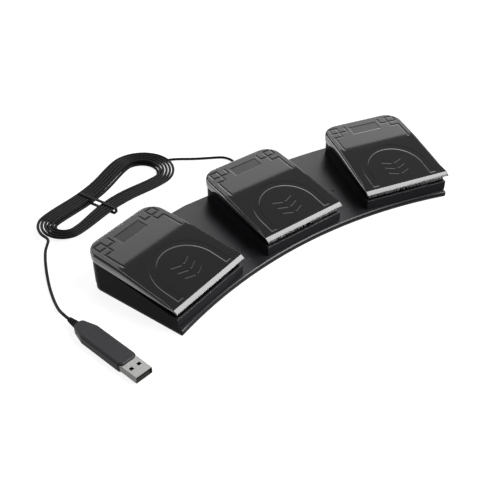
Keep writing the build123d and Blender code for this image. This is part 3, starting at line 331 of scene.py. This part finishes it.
def hank_points():
    """Control points of all turns: three spiral inwards below, then five outwards on top of them."""
    loops = [hank_loop(off, off - LOW_PITCH / 2, LOW_LEVEL) for off in LOW_OFFSETS]
    loops[0] = loops[0][FIRST_POINT:]
    loops += [hank_loop(HIGH_OFFSETS[0], CLIMB_OFFSET, HIGH_LEVEL)]
    loops += [hank_loop(off, off + HIGH_PITCH / 2, HIGH_LEVEL) for off in HIGH_OFFSETS[1:]]
    loops[-1] = loops[-1][:LAST_COUNT]
    flat = np.concatenate(loops)
    return np.stack([
        HANK_CENTRE[0] + flat[:, 0] * math.cos(HANK_TURN) - flat[:, 1] * math.sin(HANK_TURN),
        HANK_CENTRE[1] + flat[:, 0] * math.sin(HANK_TURN) + flat[:, 1] * math.cos(HANK_TURN),
        flat[:, 2],
    ], axis=1)


# Control points of the lead from the strain relief to the hank, and of its tail from the hank to the plug's boot,
# in millimetres. Depths are from the middle lip, and heights are those of the lead's middle line.
LEAD_POINTS = [
    (18.0, 80.8, 9.9), (18.0, 88.0, 9.9), (19.6, 97.4, 5.4), (22.8, 105.6, 1.05), (25.4, 113.4, 1.05),
    (22.9, 121.4, 1.05), (14.6, 126.6, 1.05), (3.6, 133.4, 1.05), (-9.1, 142.6, 1.6), (-17.5, 145.8, 1.6),
    (-22.8, 147.1, 1.6),
]
TAIL_POINTS = [
    (-134.1, 108.5, 4.05), (-138.5, 103.0, 4.05), (-142.8, 97.5, 4.05), (-148.6, 86.2, 2.6), (-154.8, 71.0, 1.05),
    (-159.2, 57.3, 1.05), (-161.9, 45.4, 1.4), (-162.8, 36.0, 3.5), (-161.9, 29.9, 3.5),
]


def plastic(name, colour, roughness, grain=0.0, grain_mm=0.4, index=1.2, sheen=0.5, matte=0.0, painted_wall_sheen=None):
    """Moulded plastic: an even base colour, a gloss that isn't quite even, and a fine moulded grain.

    The roughness drifts in soft clouds, so that reflections aren't perfectly clean, and matte is
    added to it where the mesh says "sunk_panel". Given a level for the walls, upright walls get that
    specular level and level faces get sheen. This is painted light: a painted sheen on the walls where
    that level is above sheen, and painted shade on them where it is below. Where grain is over 0, a bump
    of grain_mm breaks up the light. It is coarser than the real texture, which is too fine to show.
    """
    material = bpy.data.materials.new(name)
    material.use_nodes = True
    tree = material.node_tree
    shader = tree.nodes["Principled BSDF"]
    shader.inputs["Base Color"].default_value = linear(colour)
    shader.inputs["IOR"].default_value = index
    shader.inputs["Specular IOR Level"].default_value = sheen
    # Painted light: the specular level follows the facing, a painted sheen on upright walls where their level is
    # higher and painted shade where it is lower
    if painted_wall_sheen is not None:
        facing = node(tree, "ShaderNodeSeparateXYZ", [(0, node(tree, "ShaderNodeNewGeometry").outputs["Normal"])])
        level = node(
            tree, "ShaderNodeMapRange", [("Value", facing.outputs["Z"])],
            From_Min=0.2, From_Max=0.8, To_Min=painted_wall_sheen, To_Max=sheen)
        tree.links.new(level.outputs["Result"], shader.inputs["Specular IOR Level"])
    place = node(tree, "ShaderNodeTexCoord")
    # Clouds 17 mm across
    cloud = node(tree, "ShaderNodeTexNoise", [("Vector", place.outputs["Object"])], Scale=60.0, Detail=3.0)
    spread = node(
        tree, "ShaderNodeMapRange", [("Value", cloud.outputs["Fac"])], To_Min=roughness * 0.9, To_Max=roughness * 1.12)
    dull = node(tree, "ShaderNodeAttribute", attribute_name="sunk_panel")
    rough = node(
        tree, "ShaderNodeMath", [(0, dull.outputs["Fac"]), (2, spread.outputs["Result"])], operation="MULTIPLY_ADD")
    rough.inputs[1].default_value = matte
    tree.links.new(rough.outputs[0], shader.inputs["Roughness"])
    if grain:
        speck = node(
            tree, "ShaderNodeTexNoise", [("Vector", place.outputs["Object"])], Scale=1000.0 / grain_mm, Detail=2.0)
        # The grain is 0.04 mm deep at full strength
        bump = node(tree, "ShaderNodeBump", [("Height", speck.outputs["Fac"])], Strength=grain, Distance=0.00004)
        tree.links.new(bump.outputs["Normal"], shader.inputs["Normal"])
    return material


def metal(name, colour, roughness):
    """Bare or plated metal: full metallic, default IOR, with faint rub marks in the roughness.

    The rub marks are about 1 mm across, coarser than the real ones, which are too fine to show.
    """
    material = bpy.data.materials.new(name)
    material.use_nodes = True
    tree = material.node_tree
    shader = tree.nodes["Principled BSDF"]
    shader.inputs["Base Color"].default_value = linear(colour)
    shader.inputs["Metallic"].default_value = 1.0
    place = node(tree, "ShaderNodeTexCoord")
    rubs = node(tree, "ShaderNodeTexNoise", [("Vector", place.outputs["Object"])], Scale=900.0, Detail=4.0)
    spread = node(
        tree, "ShaderNodeMapRange", [("Value", rubs.outputs["Fac"])], To_Min=roughness * 0.75, To_Max=roughness * 1.3)
    tree.links.new(spread.outputs["Result"], shader.inputs["Roughness"])
    return material


def seen_ray(tree):
    """Socket that is 1 for rays of the camera, of mirror-like reflections and of clear materials."""
    path = node(tree, "ShaderNodeLightPath")
    either = node(
        tree, "ShaderNodeMath", [(0, path.outputs["Is Camera Ray"]), (1, path.outputs["Is Glossy Ray"])],
        operation="MAXIMUM")
    every = node(
        tree, "ShaderNodeMath", [(0, either.outputs[0]), (1, path.outputs["Is Transmission Ray"])],
        operation="MAXIMUM")
    return every.outputs[0]


# Grey of the floor that lights the object from below, and the share of its seen white that no shadow darkens.
# FLOOR_HALF is half the floor's side in metres, and WORLD_LEVEL the strength of the world's light on the object.
FLOOR_GREY, FLOOR_GLOW, FLOOR_HALF = 0.16, 0.86, 6.0
WORLD_LEVEL = 0.35


def backdrop_white(name, colour):
    """Matte grey floor that the camera sees as a lit white one, which keeps the object's soft shadow."""
    material = bpy.data.materials.new(name)
    material.use_nodes = True
    tree = material.node_tree
    tree.nodes.remove(tree.nodes["Principled BSDF"])
    matte = node(tree, "ShaderNodeBsdfDiffuse", Color=(FLOOR_GREY, FLOOR_GREY, FLOOR_GREY, 1))
    bright = node(tree, "ShaderNodeBsdfDiffuse", Color=(*colour, 1))
    white = node(tree, "ShaderNodeEmission", Color=(*colour, 1), Strength=1.0)
    seen = node(
        tree, "ShaderNodeMixShader", [(1, bright.outputs["BSDF"]), (2, white.outputs["Emission"])], Fac=FLOOR_GLOW)
    mix = node(tree, "ShaderNodeMixShader", [
        (0, seen_ray(tree)), (1, matte.outputs["BSDF"]), (2, seen.outputs["Shader"])])
    tree.links.new(mix.outputs["Shader"], tree.nodes["Material Output"].inputs["Surface"])
    return material


# Soft lamps, in metres and in watts per square metre and steradian. Each shines towards the object.
LAMPS = (
    # name, middle of one edge, the edge's direction, the way to the opposite edge, width, height, radiance
    ("soft box behind", (1.568, 1.379, 2.176), (-0.872, 0.393, 0.289), (0.192, 0.820, -0.535), 2.4, 1.5, 4.2),
    ("strip over the lips", (1.694, -1.080, 2.286), (-0.865, -0.258, 0.423), (0.10, 0.77, 0.63), 1.5, 0.7, 42.0),
    ("panel at the right", (2.13, 1.22, 0.78), (-0.5, 0.866, 0.0), (-0.37, -0.21, 0.9), 1.4, 0.7, 4.5),
    ("panel behind at the left", (-1.25, 1.95, 0.55), (0.84, 0.55, 0.0), (0.2, -0.3, 0.93), 1.6, 0.8, 8.0),
    ("card in front", (1.495, -2.029, 1.360), (0.823, 0.383, -0.421), (0.123, 0.602, 0.785), 2.2, 0.4, 60.0),
)

# Camera at the photographed angle: angles in degrees, lengths in millimetres, focal length in pixels of the width
AZIMUTH, ELEVATION, ROLL = -38.197, 38.114, -0.484
TARGET, DISTANCE = (-33.2, 18.243 + LIP_PLACE, 0.0), 558.5
SENSOR, FOCAL_PIXELS, PICTURE_PIXELS = 36.0, 836.8, 500


FINISHES = {}


def finishes():
    """Makes each material once, named for what the real one is."""
    if not FINISHES:
        FINISHES.update({
            # Polished tool: mirrors soft lamps in clear-cut patches. The upright skirt mirrors more than the top
            # because of painted sheen: its specular level is set higher than the top's
            "cover_black": plastic(
                "glossy black ABS of the covers", "#0a0a0b", 0.1, index=1.5, sheen=0.15, matte=0.3, painted_wall_sheen=1.6),
            # Fine-sparked tool: broad soft light on the plate. The upright walls are near black because of painted
            # shade: their specular level is set lower than the plate's
            "satin_black": plastic(
                "satin black ABS of the base", "#121214", 0.3, 0.08, 0.45, sheen=0.65, painted_wall_sheen=0.1),
            # Extruded: a thin soft line of light along each strand
            "lead_black": plastic(
                "smooth black PVC of the lead", "#0a0a0a", 0.4, 0.05, 0.6, index=1.15, sheen=0.32),
            # Textured tool: an even dark grey with a faint speckle
            "plug_grey": plastic("satin dark grey ABS of the plug", "#151517", 0.4, 0.3, 0.4),
            # Baked powder: a slight orange peel
            "plate_steel": plastic("black powder coat of the plate", "#161617", 0.5, 0.5, 0.3),
            # Pressed in a blasted tool: no gloss to speak of
            "foot_rubber": plastic("soft black rubber of the feet", "#141414", 0.7, 0.4, 0.4),
            # Moulded without pigment: warm off-white with a soft gloss
            "white_nylon": plastic("natural nylon of the plungers", "#e4e2da", 0.42, 0.1, 0.5, index=1.5),
            # Printed lacquer: a deep green with a fairly sharp gloss
            "board_green": plastic("green solder mask on laminate", "#1d5a35", 0.35, 0.2, 0.8, index=1.5),
            # Transfer moulded: fine matte black
            "chip_black": plastic("moulded black epoxy", "#151515", 0.5, 0.4, 0.2),
            # Barrel plated: a cool grey with blurred reflections
            "screw_steel": metal("zinc plated steel", "#96979b", 0.35),
            # Ground and drawn: brighter, with sharper reflections
            "pin_steel": metal("ground steel", "#a9aaad", 0.25),
            # Plated after stamping: a warm darker metal that reads silver under the lamps
            "nickel": metal("nickel plated sheet", "#626261", 0.27),
            # Flash plated: a clear warm yellow
            "gold": metal("gold plated contacts", "#c9a04c", 0.25),
        })
    return FINISHES


class SceneSizes(bpy.types.PropertyGroup):
    """Sizes and colours that a user would change."""
    cord_diameter: bpy.props.FloatProperty(
        name="Lead diameter", description="Outer diameter of the lead", default=0.002, unit="LENGTH")
    engraving_depth: bpy.props.FloatProperty(
        name="Engraving depth", description="Depth of the grooves in the covers", default=0.0003, unit="LENGTH")
    floor_colour: bpy.props.FloatVectorProperty(
        name="Floor colour", description="Colour of the floor and backdrop", default=(1.0, 1.0, 1.0),
        size=3, subtype="COLOR")


class SWITCH_OT_stage(bpy.types.Operator):
    """Floor, soft lamps, world and the camera at the photographed angle"""
    bl_idname = "switch.stage"
    bl_label = "Stage"

    def execute(self, context):
        scene = context.scene
        scene.view_settings.view_transform = "Standard"
        azimuth, elevation, roll = math.radians(AZIMUTH), math.radians(ELEVATION), math.radians(ROLL)
        level = math.cos(elevation)
        back = np.array([math.sin(azimuth) * level, -math.cos(azimuth) * level, math.sin(elevation)])
        place = (np.array(TARGET) + back * DISTANCE) * MM
        right = np.cross(-back, (0, 0, 1.0))
        right /= np.linalg.norm(right)
        up = np.cross(right, -back)
        right, up = right * math.cos(roll) + up * math.sin(roll), up * math.cos(roll) - right * math.sin(roll)
        lens = bpy.data.cameras.new("camera")
        lens.sensor_width = SENSOR
        lens.lens = SENSOR * FOCAL_PIXELS / PICTURE_PIXELS
        camera = bpy.data.objects.new("camera", lens)
        scene.collection.objects.link(camera)
        matrix = np.eye(4)
        matrix[:3, 0], matrix[:3, 1], matrix[:3, 2], matrix[:3, 3] = right, up, back, place
        camera.matrix_world = Matrix(matrix.tolist())
        scene.camera = camera
        corners = FLOOR_HALF * np.array([(-1, -1, 0), (1, -1, 0), (1, 1, 0), (-1, 1, 0)])
        floor = mesh_piece(
            "floor", corners, np.array([[0, 1, 2, 3]]),
            backdrop_white("white floor", tuple(scene.foot_switch.floor_colour)), smooth=False)
        world = bpy.data.worlds.new("pale world")
        scene.world = world
        world.use_nodes = True
        tree = world.node_tree
        base = tree.nodes["Background"]
        base.inputs["Color"].default_value = (1, 1, 1, 1)
        base.inputs["Strength"].default_value = WORLD_LEVEL
        seen = node(tree, "ShaderNodeBackground", Color=(1, 1, 1, 1), Strength=1.0)
        mix = node(tree, "ShaderNodeMixShader", [
            (0, seen_ray(tree)), (1, base.outputs["Background"]), (2, seen.outputs["Background"])])
        tree.links.new(mix.outputs["Shader"], tree.nodes["World Output"].inputs["Surface"])
        for name, edge, along, across, width, height, radiance in LAMPS:
            lamp = bpy.data.lights.new(name, "AREA")
            lamp.shape, lamp.size, lamp.size_y = "RECTANGLE", width, height
            lamp.energy = radiance * math.pi * width * height
            side = Vector(along).normalized()
            rise = Vector(across)
            rise = (rise - side * rise.dot(side)).normalized()
            middle = Vector(edge) + rise * (height / 2)
            out = side.cross(rise)
            # A lamp shines along its own -Z, so its Z points away from the object
            if out.dot(middle) < 0:
                side, out = -side, -out
            holder = bpy.data.objects.new(name, lamp)
            scene.collection.objects.link(holder)
            holder.matrix_world = Matrix((
                (side.x, rise.x, out.x, middle.x), (side.y, rise.y, out.y, middle.y),
                (side.z, rise.z, out.z, middle.z), (0, 0, 0, 1)))
        return {"FINISHED"}


class SWITCH_OT_lead(bpy.types.Operator):
    """The lead with its hank, as one smooth curve from the strain relief to the plug's boot"""
    bl_idname = "switch.lead"
    bl_label = "Lead"

    def execute(self, context):
        sizes = context.scene.foot_switch
        lift = np.array([0.0, LIP_PLACE, 0.0])
        points = np.concatenate([LEAD_POINTS + lift, hank_points(), TAIL_POINTS + lift]) * MM
        curve = bpy.data.curves.new("lead", "CURVE")
        curve.dimensions = "3D"
        spline = curve.splines.new("NURBS")
        spline.points.add(len(points) - 1)
        spline.points.foreach_set("co", np.column_stack([points, np.ones(len(points))]).ravel())
        spline.order_u = 3
        spline.use_endpoint_u = True
        spline.resolution_u = 6
        curve.bevel_depth = sizes.cord_diameter / 2
        curve.bevel_resolution = 3
        curve.use_fill_caps = True
        curve.materials.append(finishes()["lead_black"])
        lead = bpy.data.objects.new("lead", curve)
        context.scene.collection.objects.link(lead)
        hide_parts("cable_lead", "cable_hank", "cable_tail")
        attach(lead, "base")
        # The lead comes out of the strain relief at the first of LEAD_POINTS, here in metres
        return {"FINISHED"}


class SWITCH_OT_covers(bpy.types.Operator):
    """The three pedal covers with their bevelled lips and engraved tops"""
    bl_idname = "switch.covers"
    bl_label = "Pedal covers"

    def execute(self, context):
        for side, turn in SIDES.items():
            points, faces, dull = cover_mesh(turn)
            cover = mesh_piece(f"{side}_pedal_cover", points, faces, finishes()["cover_black"])
            cover.data.attributes.new("sunk_panel", "FLOAT", "POINT").data.foreach_set("value", dull)
            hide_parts(f"{side}_cover")
            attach(cover, f"{side}_pedal")
        return {"FINISHED"}


class SWITCH_OT_finishes(bpy.types.Operator):
    """Gives every carried-over solid its real finish"""
    bl_idname = "switch.finishes"
    bl_label = "Finishes"

    def execute(self, context):
        # The tongue is black, as the photographed latch windows look
        slots = {part["node"]: part["material_slot"] for part in frame["record"]["subparts"]}
        for name, made in frame["nodes"].items():
            material = finishes()["chip_black" if name == "usb_tongue" else slots[name]]
            for holder in made.material_slots:
                holder.material = material
            if not made.material_slots:
                made.data.materials.append(material)
        return {"FINISHED"}


class SWITCH_PT_panel(bpy.types.Panel):
    """Lists the steps that build the foot switch"""
    bl_idname = "SWITCH_PT_panel"
    bl_label = "Foot switch"
    bl_space_type = "VIEW_3D"
    bl_region_type = "UI"
    bl_category = "Foot switch"

    def draw(self, context):
        for name in ("cord_diameter", "engraving_depth", "floor_colour"):
            self.layout.prop(context.scene.foot_switch, name)
        for step in STEPS:
            self.layout.operator(step.bl_idname)


STEPS = (SWITCH_OT_stage, SWITCH_OT_lead, SWITCH_OT_covers, SWITCH_OT_finishes)
CLASSES = (SceneSizes, *STEPS, SWITCH_PT_panel)


def register():
    """Registers every class and hangs the sizes on the scene."""
    for made in CLASSES:
        bpy.utils.register_class(made)
    bpy.types.Scene.foot_switch = bpy.props.PointerProperty(type=SceneSizes)


def unregister():
    """Takes back what register did, in reverse order."""
    del bpy.types.Scene.foot_switch
    for made in reversed(CLASSES):
        bpy.utils.unregister_class(made)


def main():
    register()
    bpy.ops.switch.stage()
    bpy.ops.switch.lead()
    bpy.ops.switch.covers()
    bpy.ops.switch.finishes()


if __name__ == "__main__":
    main()
